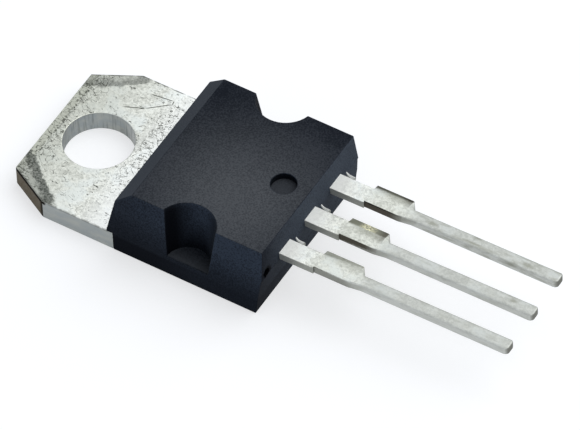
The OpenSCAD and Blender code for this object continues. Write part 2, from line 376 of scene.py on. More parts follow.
# stamped frame and leads
stubStart, stubEnd = 14.97 * mm, 17.17 * mm  # the sheared tie bar on each lead
tipStart = 26.18 * mm
leadEdges = dict(
    pin=0.2 * mm,  # the pins' long edges, nearly round
    tip=0.1 * mm,
    shoulder=0.08 * mm,
    shoulderLength=0.1 * mm,
    root=0.05 * mm,
    cut=0.025 * mm,  # sheared edges of the stub
    sharpest=math.radians(22),
    segments=4,
)
tabEdges = dict(
    outer=0.05 * mm,
    hole=0.06 * mm,
    holeReach=2 * mm,
    inBody=0.5 * mm,  # how far into the body the tab's own edges count
    sharpest=math.radians(20),
)
burr = dict(
    length=0.6 * mm,
    thick=0.14 * mm,
    point=0.3,  # thin end against the thick one
    sides=8,
    cuts=2,
    start=0.18 * mm,
    off=0.66 * mm,
    turn=math.radians(-14),
    loose=0.3,  # share of the length that lies before the curl
    curl=Vector((0.0, 0.04, 0.048)) * mm,
)


def leadRadius(a, b, angle):
    edges = leadEdges
    start, end = min(a.x, b.x), max(a.x, b.x)
    if angle < edges["sharpest"] or end < bodyHigh.x + same:
        return 0.0
    if start > tipStart:
        return edges["tip"]
    if start > stubEnd + edges["shoulderLength"]:
        return edges["pin"]
    if start > stubEnd - same and end > start + edges["shoulderLength"]:
        return edges["shoulder"]
    return edges["cut"] if start > stubStart - same else edges["root"]


def tabRadius(a, b, angle):
    edges = tabEdges
    if max(a.x, b.x) < bodyLow.x + edges["inBody"]:
        if angle < edges["sharpest"]:
            return 0.0
        return edges["hole"] if max(a.xy.length, b.xy.length) < edges["holeReach"] else edges["outer"]
    return leadRadius(a, b, angle)


def addBurr(lead, rowY):
    # a shaving that curls off the root's edge beside the body, joined into the lead
    bpy.ops.object.select_all(action="DESELECT")
    startX = bodyHigh.x + burr["start"]
    middle = Vector((startX + burr["length"] / 2, rowY + burr["off"], leadTop - burr["thick"] / 2))
    bpy.ops.mesh.primitive_cone_add(
        vertices=burr["sides"], radius1=burr["thick"], radius2=burr["thick"] * burr["point"],
        depth=burr["length"], location=middle, rotation=(0.0, math.radians(-90), burr["turn"]))
    shaving = bpy.context.object
    bpy.ops.object.transform_apply(location=True, rotation=True)
    bpy.ops.object.mode_set(mode="EDIT")
    bpy.ops.mesh.subdivide(number_cuts=burr["cuts"])
    bpy.ops.mesh.select_mode(type="VERT")
    bpy.ops.mesh.select_all(action="DESELECT")
    bpy.ops.object.mode_set(mode="OBJECT")
    for vertex in shaving.data.vertices:
        vertex.select = vertex.co.x < middle.x - burr["length"] * burr["loose"]
    bpy.ops.object.mode_set(mode="EDIT")
    bpy.ops.transform.translate(value=burr["curl"])
    bpy.ops.object.mode_set(mode="OBJECT")
    lead.select_set(True)
    bpy.context.view_layer.objects.active = lead
    bpy.ops.object.join()


# matte tin plate over stamped copper: pale and soft, scribbled with fine scratches beside the moulding,
# stippled grey where the corners were coined, brown copper on the sheared faces, dull on the handled pins
tin = dict(
    plate="#b8b9b1",
    pale="#edeee6",
    cool="#dbe4e7",
    # also painted light on the hole's right-hand wall
    palest="#f3f4f1",
    dull="#b3b5a8",
    scratch="#45473f",
    coined="#50534e",
    pressed="#b6b8ae",  # between the coined band and the cut
    copper="#6a6152",
    stubCopper="#56524a",
    shadow="#120e0a",
    rolled="#818272",
    # painted highlight in the middle of the rolled edge
    glint="#eeeac6",
    # painted shade on the leads' upright sides
    edge="#8e908a",
    pin="#b2b4af",
    # painted light on the pins' sides and their rounded edges
    pinSideLight="#cdcfcb",
    tip="#6d6d65",
    rootLight="#fbfcf7",  # painted light at the roots' starts, where the body shades them
    sheared="#a1a7a8",
    streak="#808583",
    smear="#9b9c91",
    grazing="#bcbcbc",  # tarnish dulls the plate where it is seen edge on
    rough=0.5,
    roughPins=0.62,
    roughPeel=0.12,
    bump=0.6,
    bumpHeight=0.015 * mm,
    scratchDepth=-0.8,
    mottle=1.4 * mm,
    stipple=0.1 * mm,
    peel=0.15 * mm,
    peelShare=1.6,
    scribble=0.42 * mm,
    breaks=0.42 * mm,
    hairs=(0.9, 0.28, 1.0),  # sizes in mm along, across and up
    hairTurn=math.radians(35),
    smears=(1.1, 0.3, 0.4),
    streaks=(0.1, 0.1, 1.6),
    holeReach=2.1 * mm,
    evenPins=0.65,
    pinSmears=(  # middles and half sizes of the dark smears on the pins
        ((18.8, 2.5), (0.5, 0.22)),
        ((21.3, 2.36), (1.0, 0.13)),
        ((24.5, 2.44), (0.7, 0.24)),
        ((25.04, 0.05), (0.36, 0.2)),
    ),
    smearRagged=0.9,
)
tinRanges = dict(
    onTab=(bodyLow.x + 0.7 * mm, bodyLow.x + 0.8 * mm, 1.0, 0.0),
    onLead=(bodyHigh.x - 0.2 * mm, bodyHigh.x - 0.1 * mm),
    onPin=(stubEnd - 0.4 * mm, stubEnd + 0.8 * mm),
    upward=(0.75, 0.95),
    upright=(0.3, 0.6, 1.0, 0.0),
    toEnd=(tabLow.x, tabLow.x + 5.2 * mm, 0.95, 0.0),
    cloudy=(0.3, 0.7, 0.5, 1.0),
    tarnish=(stubStart - 0.6 * mm, stubStart + 0.3 * mm, 0.0, 0.35),
    smear=(0.48, 0.7),
    handled=(0.0, 1.0, 0.4, 0.9),
    pinSmear=(0.6, 1.45, 0.85, 0.0),
    tipFace=(0.4, 0.9, 0.0, 0.85),
    streaked=(0.5, 0.64, 0.0, 0.6),
    holeWallLight=(-0.2, -0.8, 0.0, 0.75),
    blotched=(0.4, 0.65, 0.0, 0.5),
    edge=(0.1, 0.6, 0.8, 0.0),
    pinSideLight=(0.2, 0.97, 0.85, 0.0),
    specks=(0.63, 0.73, 0.0, 0.55),
    rootEnd=(bodyHigh.x + 1.4 * mm, bodyHigh.x, 0.0, 1.0),
    byBody=(bodyLow.x - 2.0 * mm, bodyLow.x - 0.3 * mm, 0.0, 0.8),
    bright=(1.05, 1.45),
    bluish=(0.5, 0.62, 0.0, 0.35),
    metal=(0.0, 1.0, 1.0, 0.0),
)


def tinPatterns(tree, point):
    # the fine patterns that the masks share
    drawn = addNode(tree, "Mapping", {"Vector": point, "Scale": scalesFor(tin["smears"])})
    skewed = addNode(tree, "Mapping", {"Vector": point, "Rotation": (0.0, 0.0, tin["hairTurn"]),
                                       "Scale": scalesFor(tin["hairs"])})
    upright = addNode(tree, "Mapping", {"Vector": point, "Scale": scalesFor(tin["streaks"])})
    noises = dict(
        mottle={"Vector": point, "Scale": 1 / tin["mottle"], "Detail": 5.0, "Roughness": 0.6},
        stipple={"Vector": point, "Scale": 1 / tin["stipple"], "Detail": 2.0},
        peel={"Vector": point, "Scale": 1 / tin["peel"], "Detail": 5.0, "Roughness": 0.65, "Distortion": 0.6},
        scribble={"Vector": point, "Scale": 1 / tin["scribble"], "Detail": 2.5},
        hairs={"Vector": skewed, "Scale": 1.0, "Detail": 2.0},
        breaks={"Vector": point, "Scale": 1 / tin["breaks"], "Detail": 1.0},
        smears={"Vector": drawn, "Scale": 1.0, "Detail": 4.0, "Roughness": 0.55},
        streaks={"Vector": upright, "Scale": 1.0, "Detail": 3.0},
    )
    return {name: addNode(tree, "TexNoise", feeds) for name, feeds in noises.items()}


def smearMask(tree, point, middle, halfSize, patterns):
    # one soft smear on a pin, with ragged edges
    size = (halfSize[0] * mm, halfSize[1] * mm, 1.0)
    feeds = {"Vector": point, "Location": (Vector(middle) * mm).to_3d(), "Scale": size}
    local = addNode(tree, "Mapping", feeds, vector_type="TEXTURE")
    away = addNode(tree, "VectorMath", (local,), out=1, operation="LENGTH")
    away = addNode(tree, "Math", (patterns["peel"], tin["smearRagged"], away), operation="MULTIPLY_ADD")
    return addNode(tree, "MapRange", (away, *tinRanges["pinSmear"]), interpolation_type="SMOOTHSTEP")


scribbles = dict(
    contour=0.5,
    hair=0.52,
    middle=0.7 * mm,
    line=(0.004, 0.017, 0.95, 0.0),
    byBody=(bodyLow.x - 2.4 * mm, bodyLow.x - 1.3 * mm),
    across=(1.8 * mm, 4.2 * mm, 1.0, 0.0),
    byEnd=(-1.1 * mm, -1.9 * mm, 0.0, 1.0),
    least=(0.0, 1.0, 0.57, 0.45),  # a line shows where the breaks are above this
    clear=(bodyLow.x - 0.32 * mm, bodyLow.x - 0.2 * mm, 1.0, 0.0),
    scratchWidth=0.035 * mm,
    scratchCore=0.4,
    scratchEnds=(0.75, 1.05),
    scratches=(  # starts and ends of the long scratches beside the hole
        ((-0.18, 2.62), (0.94, 3.11)),
        ((0.94, 3.11), (2.02, 4.04)),
        ((0.64, 4.11), (2.0, 4.28)),
        ((2.0, 4.28), (2.02, 4.04)),
    ),
)


def scratchMask(tree, point, start, end):
    # one straight scratch on the tab's face, fading at both ends
    start, end = Vector(start) * mm, Vector(end) * mm
    run = end - start
    width = scribbles["scratchWidth"]
    fadeStart, fadeEnd = (run.length / 2 * share for share in scribbles["scratchEnds"])
    turn = (0.0, 0.0, math.atan2(run.y, run.x))
    feeds = {"Vector": point, "Location": ((start + end) / 2).to_3d(), "Rotation": turn}
    local = addNode(tree, "Mapping", feeds, vector_type="TEXTURE")
    offset = addNode(tree, "VectorMath", (local,), operation="ABSOLUTE")
    offset = addNode(tree, "SeparateXYZ", (offset,), out=None)
    lengthways = addNode(tree, "MapRange", (offset[0], fadeStart, fadeEnd, 1.0, 0.0))
    sideways = addNode(tree, "MapRange", (offset[1], width * scribbles["scratchCore"], width, 1.0, 0.0))
    return addNode(tree, "Math", (lengthways, sideways), operation="MULTIPLY")


def scribbleMask(tree, point, at, patterns):
    # broken contour lines of two noises, dense beside the moulding and the tab's end, and the long scratches
    marks = scribbles
    offLine = addNode(tree, "Math", (patterns["scribble"], marks["contour"]), operation="SUBTRACT")
    offLine = addNode(tree, "Math", (offLine,), operation="ABSOLUTE")
    offHair = addNode(tree, "Math", (patterns["hairs"], marks["hair"]), operation="SUBTRACT")
    offHair = addNode(tree, "Math", (offHair,), operation="ABSOLUTE")
    offLine = addNode(tree, "Math", (offLine, offHair), operation="MINIMUM")
    line = addNode(tree, "MapRange", (offLine, *marks["line"]))
    byBody = addNode(tree, "MapRange", (at[0], *marks["byBody"]))
    offMiddle = addNode(tree, "Math", (at[1], marks["middle"]), operation="SUBTRACT")
    offMiddle = addNode(tree, "Math", (offMiddle,), operation="ABSOLUTE")
    middle = addNode(tree, "MapRange", (offMiddle, *marks["across"]))
    byBody = addNode(tree, "Math", (byBody, middle), operation="MULTIPLY")
    byEnd = addNode(tree, "MapRange", (at[0], *marks["byEnd"]))
    crowd = addNode(tree, "Math", (byBody, byEnd), operation="MAXIMUM")
    least = addNode(tree, "MapRange", (crowd, *marks["least"]))
    kept = addNode(tree, "Math", (patterns["breaks"], least), operation="GREATER_THAN")
    line = addNode(tree, "Math", (line, kept), operation="MULTIPLY")
    clear = addNode(tree, "MapRange", (at[0], *marks["clear"]))
    line = addNode(tree, "Math", (line, clear), operation="MULTIPLY")
    for start, end in marks["scratches"]:
        line = addNode(tree, "Math", (line, scratchMask(tree, point, start, end)), operation="MAXIMUM")
    return line


# the tab's corner cuts, and the coined bands and strip beside them
cutLength = 2.44 * mm
cutWidth = 1.29 * mm
cutEnd = tabLow.x + cutLength
cutX, cutY = cutWidth / math.hypot(cutLength, cutWidth), cutLength / math.hypot(cutLength, cutWidth)
coining = dict(
    fine=0.38 * mm,  # raggedness of the bands
    coarse=0.44 * mm,
    farTaper=(-1.2 * mm, 0.2 * mm, 0.0, 0.3 * mm),
    nearLean=(tabLow.x, cutEnd, -0.45 * mm, 0.2 * mm),
    band=(1.23 * mm, 1.31 * mm, 1.0, 0.0),
    bandEnd=(0.05 * mm, 0.3 * mm, 1.0, 0.0),
    pits=(0.35, 0.65, 0.65, 1.0),
    rubbed=(0.6 * mm, 0.9 * mm, 0.3, 1.0),
    pressed=(0.55 * mm, 0.85 * mm, 0.9, 0.0),
    pressedSides=(0.0, 1.0, 1.0, 0.3),  # near and far
    offTip=(tabLow.x + 0.2 * mm, tabLow.x + 0.8 * mm),
    wedge=(-1.0 * mm, -0.4 * mm),
    bandSides=(0.0, 1.0, 1.0, 0.7),
    strip=(0.4 * mm, 0.46 * mm, 0.8, 0.0),
    seamAt=0.46 * mm,
    seam=(0.0, 0.16 * mm, 1.0, 0.0),
    flecks=(0.48, 0.6),
    rim=(0.04 * mm, 0.11 * mm, 0.9, 0.0),
    rimSides=(0.0, 1.0, 0.5, 1.0),
    rimTop=(tabTop - 0.1 * mm, tabTop - 0.05 * mm),
    rimBreaks=(0.4, 0.5),
)
cuts = dict(
    square=(0.93, 0.98),
    around=(0.55, 0.8),
    atCut=(0.06 * mm, 0.12 * mm, 1.0, 0.0),
    stained=(0.4, 0.62, 1.0, 0.85),
    ragged=0.14 * mm,
    blackEdge=(tabTop - 0.16 * mm, tabTop - 0.1 * mm),
    blackEnd=(cutEnd - 0.24 * mm, cutEnd - 0.08 * mm, 0.0, 0.95),
)


def coinedMasks(tree, at, patterns):
    # grey bands along the corner cuts, a dull strip along the tab's end with a broken seam, a dark far rim
    across = addNode(tree, "Math", (at[1],), operation="ABSOLUTE")
    farSide = addNode(tree, "Math", (at[1], 0.0), operation="GREATER_THAN")
    shift = (tabHigh.y - cutWidth) * cutY - tabLow.x * cutX
    inward = addNode(tree, "Math", (at[0], cutX, shift), operation="MULTIPLY_ADD")
    inward = addNode(tree, "Math", (across, -cutY, inward), operation="MULTIPLY_ADD")
    ragged = addNode(tree, "Math", (patterns["stipple"], coining["fine"], inward), operation="MULTIPLY_ADD")
    ragged = addNode(tree, "Math", (patterns["breaks"], coining["coarse"], ragged), operation="MULTIPLY_ADD")
    taper = addNode(tree, "MapRange", (at[0], *coining["farTaper"]))
    taper = addNode(tree, "Math", (taper, farSide), operation="MULTIPLY")
    lean = addNode(tree, "MapRange", (at[0], *coining["nearLean"]))
    nearSide = addNode(tree, "Math", (1.0, farSide), operation="SUBTRACT")
    taper = addNode(tree, "Math", (lean, nearSide, taper), operation="MULTIPLY_ADD")
    ragged = addNode(tree, "Math", (ragged, taper), operation="ADD")
    band = addNode(tree, "MapRange", (ragged, *coining["band"]))
    short = addNode(tree, "MapRange", (at[0], *coining["bandEnd"]))
    band = addNode(tree, "Math", (band, short), operation="MULTIPLY")
    pits = addNode(tree, "MapRange", (patterns["stipple"], *coining["pits"]))
    band = addNode(tree, "Math", (band, pits), operation="MULTIPLY")
    rubbed = addNode(tree, "MapRange", (ragged, *coining["rubbed"]))
    pressed = addNode(tree, "MapRange", (inward, *coining["pressed"]))
    pressed = addNode(tree, "Math", (pressed, short), operation="MULTIPLY")
    for source, name in ((farSide, "pressedSides"), (at[0], "offTip")):
        mask = addNode(tree, "MapRange", (source, *coining[name]))
        pressed = addNode(tree, "Math", (pressed, mask), operation="MULTIPLY")
    wedge = addNode(tree, "MapRange", (at[0], *coining["wedge"]))
    rubbed = addNode(tree, "Math", (rubbed, wedge), operation="MAXIMUM")
    bandSides = addNode(tree, "MapRange", (farSide, *coining["bandSides"]))
    rubbed = addNode(tree, "Math", (rubbed, bandSides), operation="MULTIPLY")
    band = addNode(tree, "Math", (band, rubbed), operation="MULTIPLY")
    fromEnd = addNode(tree, "Math", (at[0], tabLow.x), operation="SUBTRACT")
    strip = addNode(tree, "MapRange", (fromEnd, *coining["strip"]))
    offSeam = addNode(tree, "Math", (fromEnd, coining["seamAt"]), operation="SUBTRACT")
    offSeam = addNode(tree, "Math", (offSeam,), operation="ABSOLUTE")
    seam = addNode(tree, "MapRange", (offSeam, *coining["seam"]))
    flecks = addNode(tree, "MapRange", (patterns["stipple"], *coining["flecks"]))
    seam = addNode(tree, "Math", (seam, flecks), operation="MULTIPLY")
    fromRim = addNode(tree, "Math", (tabHigh.y, across), operation="SUBTRACT")
    fromRim = addNode(tree, "Math", (fromRim, inward), operation="MINIMUM")
    rim = addNode(tree, "MapRange", (fromRim, *coining["rim"]))
    for source, name in ((farSide, "rimSides"), (at[2], "rimTop"), (patterns["breaks"], "rimBreaks")):
        mask = addNode(tree, "MapRange", (source, *coining[name]))
        rim = addNode(tree, "Math", (rim, mask), operation="MULTIPLY")
    return dict(band=band, pressed=pressed, strip=strip, seam=seam, rim=rim, inward=inward)


def cornerCutMasks(tree, at, facing, inward, patterns):
    # bare copper on the corner cuts, black along their upper edge
    sideways = addNode(tree, "Math", (facing[1],), operation="ABSOLUTE")
    sideways = addNode(tree, "Math", (sideways, cutY), operation="MULTIPLY")
    square = addNode(tree, "Math", (facing[0], -cutX, sideways), operation="MULTIPLY_ADD")
    bare = addNode(tree, "MapRange", (square, *cuts["square"]))
    atCut = addNode(tree, "MapRange", (inward, *cuts["atCut"]))
    bare = addNode(tree, "Math", (bare, atCut), operation="MULTIPLY")
    stained = addNode(tree, "MapRange", (patterns["peel"], *cuts["stained"]))
    bare = addNode(tree, "Math", (bare, stained), operation="MULTIPLY")
    height = addNode(tree, "Math", (patterns["stipple"], cuts["ragged"], at[2]), operation="MULTIPLY_ADD")
    black = addNode(tree, "MapRange", (height, *cuts["blackEdge"]))
    aroundCut = addNode(tree, "MapRange", (square, *cuts["around"]))
    aroundCut = addNode(tree, "Math", (aroundCut, atCut), operation="MULTIPLY")
    black = addNode(tree, "Math", (black, aroundCut), operation="MULTIPLY")
    blackEnd = addNode(tree, "MapRange", (at[0], *cuts["blackEnd"]))
    blackEnd = addNode(tree, "Math", (blackEnd, bare), operation="MULTIPLY")
    black = addNode(tree, "Math", (black, blackEnd), operation="MAXIMUM")
    return bare, black


# the sheared tie bar: dark copper on the near cut, a rolled olive edge on the far one with painted brassy
# highlights
stubMiddle = (stubStart + stubEnd) / 2
stubFar = 0.92 * mm
stub = dict(
    nearCut=(-0.5, -0.8),
    cutRagged=-0.24 * mm,
    depth=(stubStart, stubEnd, 0.42 * mm, 0.24 * mm),
    depthFar=0.16 * mm,  # more or less than that on the far and near leads
    depthNear=-0.4 * mm,
    upper=(-0.14 * mm, -0.04 * mm, 1.0, 0.2),
    fading=(stubEnd - 0.7 * mm, stubEnd, 1.0, 0.2),
    black=(-0.1 * mm, 0.0, 0.9, 0.0),
    rollRagged=0.14 * mm,
    rollWidth=0.46 * mm,
    rollFar=-0.26 * mm,
    rollNear=-0.08 * mm,
    rollTaper=(stubStart, stubEnd, 0.0, 0.22 * mm),
    rolled=(stubFar - 0.04 * mm, stubFar + 0.14 * mm),
    halo=(stubFar - 0.46 * mm, stubFar - 0.06 * mm, 0.0, 0.5),
    haloStart=(stubStart, stubStart + 0.9 * mm),
    strength=(0.0, 1.0, 0.95, 0.6),
    rollEnd=(stubEnd - 0.6 * mm, stubEnd - 0.15 * mm, 0.0, 0.8),
    glint=(0.1 * mm, 0.55 * mm, 1.0, 0.0),
    hatched=(0.4, 0.56, 0.1, 1.0),
    onRoll=(0.6, 0.9),
    brassy=(0.0, 1.0, 1.0, 0.15),  # middle lead and outer leads
    lip=0.6,
)


def stubMasks(tree, at, facing, patterns):
    halfStub = (stubEnd - stubStart) / 2 + same
    onStub = addNode(tree, "Math", (at[0], stubMiddle, halfStub), operation="COMPARE")
    farLead = addNode(tree, "Math", (at[1], leadPitch / 2), operation="GREATER_THAN")
    nearLead = addNode(tree, "Math", (at[1], -leadPitch / 2), operation="LESS_THAN")

    # the near cut
    topAtZero = leadTop - bodyHigh.x * leadSlope
    drop = addNode(tree, "Math", (at[0], leadSlope, topAtZero), operation="MULTIPLY_ADD")
    drop = addNode(tree, "Math", (drop, at[2]), operation="SUBTRACT")
    bare = addNode(tree, "MapRange", (facing[1], *stub["nearCut"]))
    bare = addNode(tree, "Math", (bare, onStub), operation="MULTIPLY")
    ragged = addNode(tree, "Math", (patterns["stipple"], stub["cutRagged"], drop), operation="MULTIPLY_ADD")
    depth = addNode(tree, "MapRange", (at[0], *stub["depth"]))
    depth = addNode(tree, "Math", (farLead, stub["depthFar"], depth), operation="MULTIPLY_ADD")
    depth = addNode(tree, "Math", (nearLead, stub["depthNear"], depth), operation="MULTIPLY_ADD")
    over = addNode(tree, "Math", (ragged, depth), operation="SUBTRACT")
    for source, name in ((over, "upper"), (at[0], "fading")):
        mask = addNode(tree, "MapRange", (source, *stub[name]))
        bare = addNode(tree, "Math", (bare, mask), operation="MULTIPLY")
    black = addNode(tree, "MapRange", (ragged, *stub["black"]))
    black = addNode(tree, "Math", (black, bare), operation="MULTIPLY")
    black = addNode(tree, "Math", (black, farLead), operation="MULTIPLY")

    # the rolled far edge
    lane = addNode(tree, "Math", (at[1], leadPitch / 2, -leadPitch / 2), operation="WRAP")
    lane = addNode(tree, "Math", (patterns["stipple"], stub["rollRagged"], lane), operation="MULTIPLY_ADD")
    taper = addNode(tree, "MapRange", (at[0], *stub["rollTaper"]))
    taper = addNode(tree, "Math", (taper, nearLead), operation="MULTIPLY")
    width = addNode(tree, "Math", (farLead, stub["rollFar"], stub["rollWidth"]), operation="MULTIPLY_ADD")
    width = addNode(tree, "Math", (nearLead, stub["rollNear"], width), operation="MULTIPLY_ADD")
    width = addNode(tree, "Math", (width, taper), operation="SUBTRACT")
    lane = addNode(tree, "Math", (lane, width), operation="ADD")
    rolled = addNode(tree, "MapRange", (lane, *stub["rolled"]))
    halo = addNode(tree, "MapRange", (lane, *stub["halo"]))
    haloStart = addNode(tree, "MapRange", (at[0], *stub["haloStart"]))
    halo = addNode(tree, "Math", (halo, haloStart), operation="MULTIPLY")
    lip = addNode(tree, "Math", (rolled, farLead), operation="MULTIPLY")
    rolled = addNode(tree, "Math", (rolled, halo), operation="MAXIMUM")
    rolled = addNode(tree, "Math", (rolled, onStub), operation="MULTIPLY")
    strength = addNode(tree, "MapRange", (nearLead, *stub["strength"]))
    rolled = addNode(tree, "Math", (rolled, strength), operation="MULTIPLY")
    rollEnd = addNode(tree, "MapRange", (at[0], *stub["rollEnd"]))
    rollEnd = addNode(tree, "Math", (rollEnd, rolled), operation="MULTIPLY")
    offNear = addNode(tree, "Math", (1.0, nearLead), operation="SUBTRACT")
    rollEnd = addNode(tree, "Math", (rollEnd, offNear), operation="MULTIPLY")
    offGlint = addNode(tree, "Math", (at[0], stubMiddle), operation="SUBTRACT")
    offGlint = addNode(tree, "Math", (offGlint,), operation="ABSOLUTE")
    glints = addNode(tree, "MapRange", (offGlint, *stub["glint"]))
    for source, name in ((patterns["stipple"], "hatched"), (rolled, "onRoll")):
        mask = addNode(tree, "MapRange", (source, *stub[name]))
        glints = addNode(tree, "Math", (glints, mask), operation="MULTIPLY")
    outer = addNode(tree, "Math", (farLead, nearLead), operation="MAXIMUM")
    brassy = addNode(tree, "MapRange", (outer, *stub["brassy"]))
    glints = addNode(tree, "Math", (glints, brassy), operation="MULTIPLY")
    lip = addNode(tree, "Math", (lip, onStub), operation="MULTIPLY")
    lip = addNode(tree, "Math", (lip, stub["lip"]), operation="MULTIPLY")
    black = addNode(tree, "Math", (black, lip), operation="MAXIMUM")
    return bare, black, rolled, rollEnd, glints


def makeTinPlate():
    ranges = tinRanges
    material, tree, shader = startMaterial("matteTinPlate")
    place = addNode(tree, "TexCoord", (), out=None)
    point = place["Object"]
    at = addNode(tree, "SeparateXYZ", (point,), out=None)
    facing = addNode(tree, "SeparateXYZ", (place["Normal"],), out=None)
    patterns = tinPatterns(tree, point)

    # the tab's face and sides, and the pins
    onTab = addNode(tree, "MapRange", (at[0], *ranges["onTab"]))
    onLead = addNode(tree, "MapRange", (at[0], *ranges["onLead"]))
    upward = addNode(tree, "MapRange", (facing[2], *ranges["upward"]))
    onFace = addNode(tree, "Math", (onTab, upward), operation="MULTIPLY")
    upright = addNode(tree, "MapRange", (facing[2], *ranges["upright"]))
    onSide = addNode(tree, "Math", (onTab, upright), operation="MULTIPLY")
    onPin = addNode(tree, "MapRange", (at[0], *ranges["onPin"]))
    farLead = addNode(tree, "Math", (at[1], leadPitch / 2), operation="GREATER_THAN")

    # scratches, coined bands and bare copper
    marks = scribbleMask(tree, point, at, patterns)
    marks = addNode(tree, "Math", (marks, onFace), operation="MULTIPLY")
    coined = coinedMasks(tree, at, patterns)
    onTop = {name: addNode(tree, "Math", (coined[name], onFace), operation="MULTIPLY")
             for name in ("band", "pressed", "strip", "seam")}
    rim = addNode(tree, "Math", (coined["rim"], onTab), operation="MULTIPLY")
    bare, black = cornerCutMasks(tree, at, facing, coined["inward"], patterns)
    bare = addNode(tree, "Math", (bare, onTab), operation="MULTIPLY")
    black = addNode(tree, "Math", (black, onTab), operation="MULTIPLY")
    stubBare, stubBlack, rolled, rollEnd, glints = stubMasks(tree, at, facing, patterns)

    # dulled towards the tab's end and on the pins, with drawn-out smears on the pins
    toEnd = addNode(tree, "MapRange", (at[0], *ranges["toEnd"]))
    cloudy = addNode(tree, "MapRange", (patterns["mottle"], *ranges["cloudy"]))
    toEnd = addNode(tree, "Math", (toEnd, cloudy), operation="MULTIPLY")
    tarnish = addNode(tree, "MapRange", (at[0], *ranges["tarnish"]))
    beforePin = addNode(tree, "Math", (1.0, onPin), operation="SUBTRACT")
    tarnish = addNode(tree, "Math", (tarnish, beforePin), operation="MULTIPLY")
    tarnish = addNode(tree, "Math", (tarnish, toEnd), operation="MAXIMUM")
    smear = addNode(tree, "MapRange", (patterns["smears"], *ranges["smear"]))
    smear = addNode(tree, "Math", (smear, onPin), operation="MULTIPLY")
    handled = addNode(tree, "MapRange", (farLead, *ranges["handled"]))
    smear = addNode(tree, "Math", (smear, handled), operation="MULTIPLY")
    for middle, halfSize in tin["pinSmears"]:
        spot = smearMask(tree, point, middle, halfSize, patterns)
        smear = addNode(tree, "Math", (smear, spot), operation="MAXIMUM")
    tipFace = addNode(tree, "MapRange", (facing[0], *ranges["tipFace"]))
    atTip = addNode(tree, "Math", (at[0], tipStart), operation="GREATER_THAN")
    tipFace = addNode(tree, "Math", (tipFace, atTip), operation="MULTIPLY")

    # streaks in the hole and painted light on its right-hand wall, blotches on the tab's sides, painted shade
    # on the leads' sides, and painted light on the pins' sides and at the roots' starts
    streaked = addNode(tree, "MapRange", (patterns["streaks"], *ranges["streaked"]))
    streaked = addNode(tree, "Math", (streaked, onSide), operation="MULTIPLY")
    fromHole = addNode(tree, "CombineXYZ", (at[0], at[1]))
    fromHole = addNode(tree, "VectorMath", (fromHole,), out=1, operation="LENGTH")
    inHole = addNode(tree, "Math", (fromHole, tin["holeReach"]), operation="LESS_THAN")
    streaked = addNode(tree, "Math", (streaked, inHole), operation="MULTIPLY")
    holeWallLight = addNode(tree, "MapRange", (facing[0], *ranges["holeWallLight"]))
    holeWallLight = addNode(tree, "Math", (holeWallLight, inHole), operation="MULTIPLY")
    holeWallLight = addNode(tree, "Math", (holeWallLight, onSide), operation="MULTIPLY")
    local = {}  # masks that belong to one place each
    for name, source, where in (
            ("blotched", patterns["smears"], onSide), ("edge", facing[2], onLead),
            ("pinSideLight", facing[2], onPin), ("specks", patterns["stipple"], onFace),
            ("rootEnd", at[0], onLead), ("byBody", at[0], onFace)):
        mask = addNode(tree, "MapRange", (source, *ranges[name]))
        local[name] = addNode(tree, "Math", (mask, where), operation="MULTIPLY")
    edge = addNode(tree, "Math", (local["edge"], beforePin), operation="MULTIPLY")
    even = addNode(tree, "Math", (onPin, tin["evenPins"]), operation="MULTIPLY")

    # the plate itself, brightest beside the moulding
    peel, mottle = patterns["peel"], patterns["mottle"]
    fine = addNode(tree, "Math", (peel, tin["peelShare"], mottle), operation="MULTIPLY_ADD")
    bright = addNode(tree, "MapRange", (fine, *ranges["bright"]))
    bluish = addNode(tree, "MapRange", (mottle, *ranges["bluish"]))
    color = layColors(tree, tin, "plate", (
        (bright, "pale"), (bluish, "cool"), (local["byBody"], "palest"), (even, "pin"),
        (local["pinSideLight"], "pinSideLight"), (local["rootEnd"], "rootLight"), (tarnish, "dull"), (smear, "smear"),
        (edge, "edge"), (onTop["strip"], "dull"), (onTop["pressed"], "pressed"), (onTop["band"], "coined"),
        (onTop["seam"], "scratch"), (onSide, "sheared"), (local["blotched"], "plate"), (holeWallLight, "palest"),
        (streaked, "streak"), (local["specks"], "scratch"), (marks, "scratch"), (rim, "scratch"),
        (rolled, "rolled"), (rollEnd, "stubCopper"), (glints, "glint"), (stubBare, "stubCopper"),
        (stubBlack, "shadow"), (bare, "copper"), (black, "shadow"), (tipFace, "tip")))
    rough = addNode(tree, "MapRange", (onPin, 0.0, 1.0, tin["rough"], tin["roughPins"]))
    rough = addNode(tree, "Math", (peel, tin["roughPeel"], rough), operation="MULTIPLY_ADD")
    rough = addNode(tree, "Math", (rough, tin["roughPeel"] / 2), operation="SUBTRACT")
    relief = addNode(tree, "Math", (marks, tin["scratchDepth"], peel), operation="MULTIPLY_ADD")
    relief = addNode(tree, "Math", (onTop["band"], patterns["stipple"], relief), operation="MULTIPLY_ADD")
    bump = addNode(tree, "Bump", {"Height": relief, "Strength": tin["bump"], "Distance": tin["bumpHeight"]})
    tree.links.new(color, shader.inputs["Base Color"])
    tree.links.new(rough, shader.inputs["Roughness"])
    tree.links.new(bump, shader.inputs["Normal"])
    # the roots' starts are not metallic, so that the painted light there shows
    metal = addNode(tree, "MapRange", (local["rootEnd"], *ranges["metal"]))
    tree.links.new(metal, shader.inputs["Metallic"])
    shader.inputs["Specular Tint"].default_value = linearFromHex(tin["grazing"])
    return material


epoxyMaterial = makeEpoxy()
tinMaterial = makeTinPlate()
print("materials done: epoxy and tin plate")

body = cadCopy("moulded_body", "mouldedBody")
roundEdges(body, bodyRadius, bodyEdges["front"])
finishPiece(body, "moulded_body", epoxyMaterial)

tab = cadCopy("tab_with_collector_lead", "tabWithCollectorLead")
roundEdges(tab, tabRadius, leadEdges["pin"], leadEdges["segments"])
addBurr(tab, 0.0)
finishPiece(tab, "tab_with_collector_lead", tinMaterial)

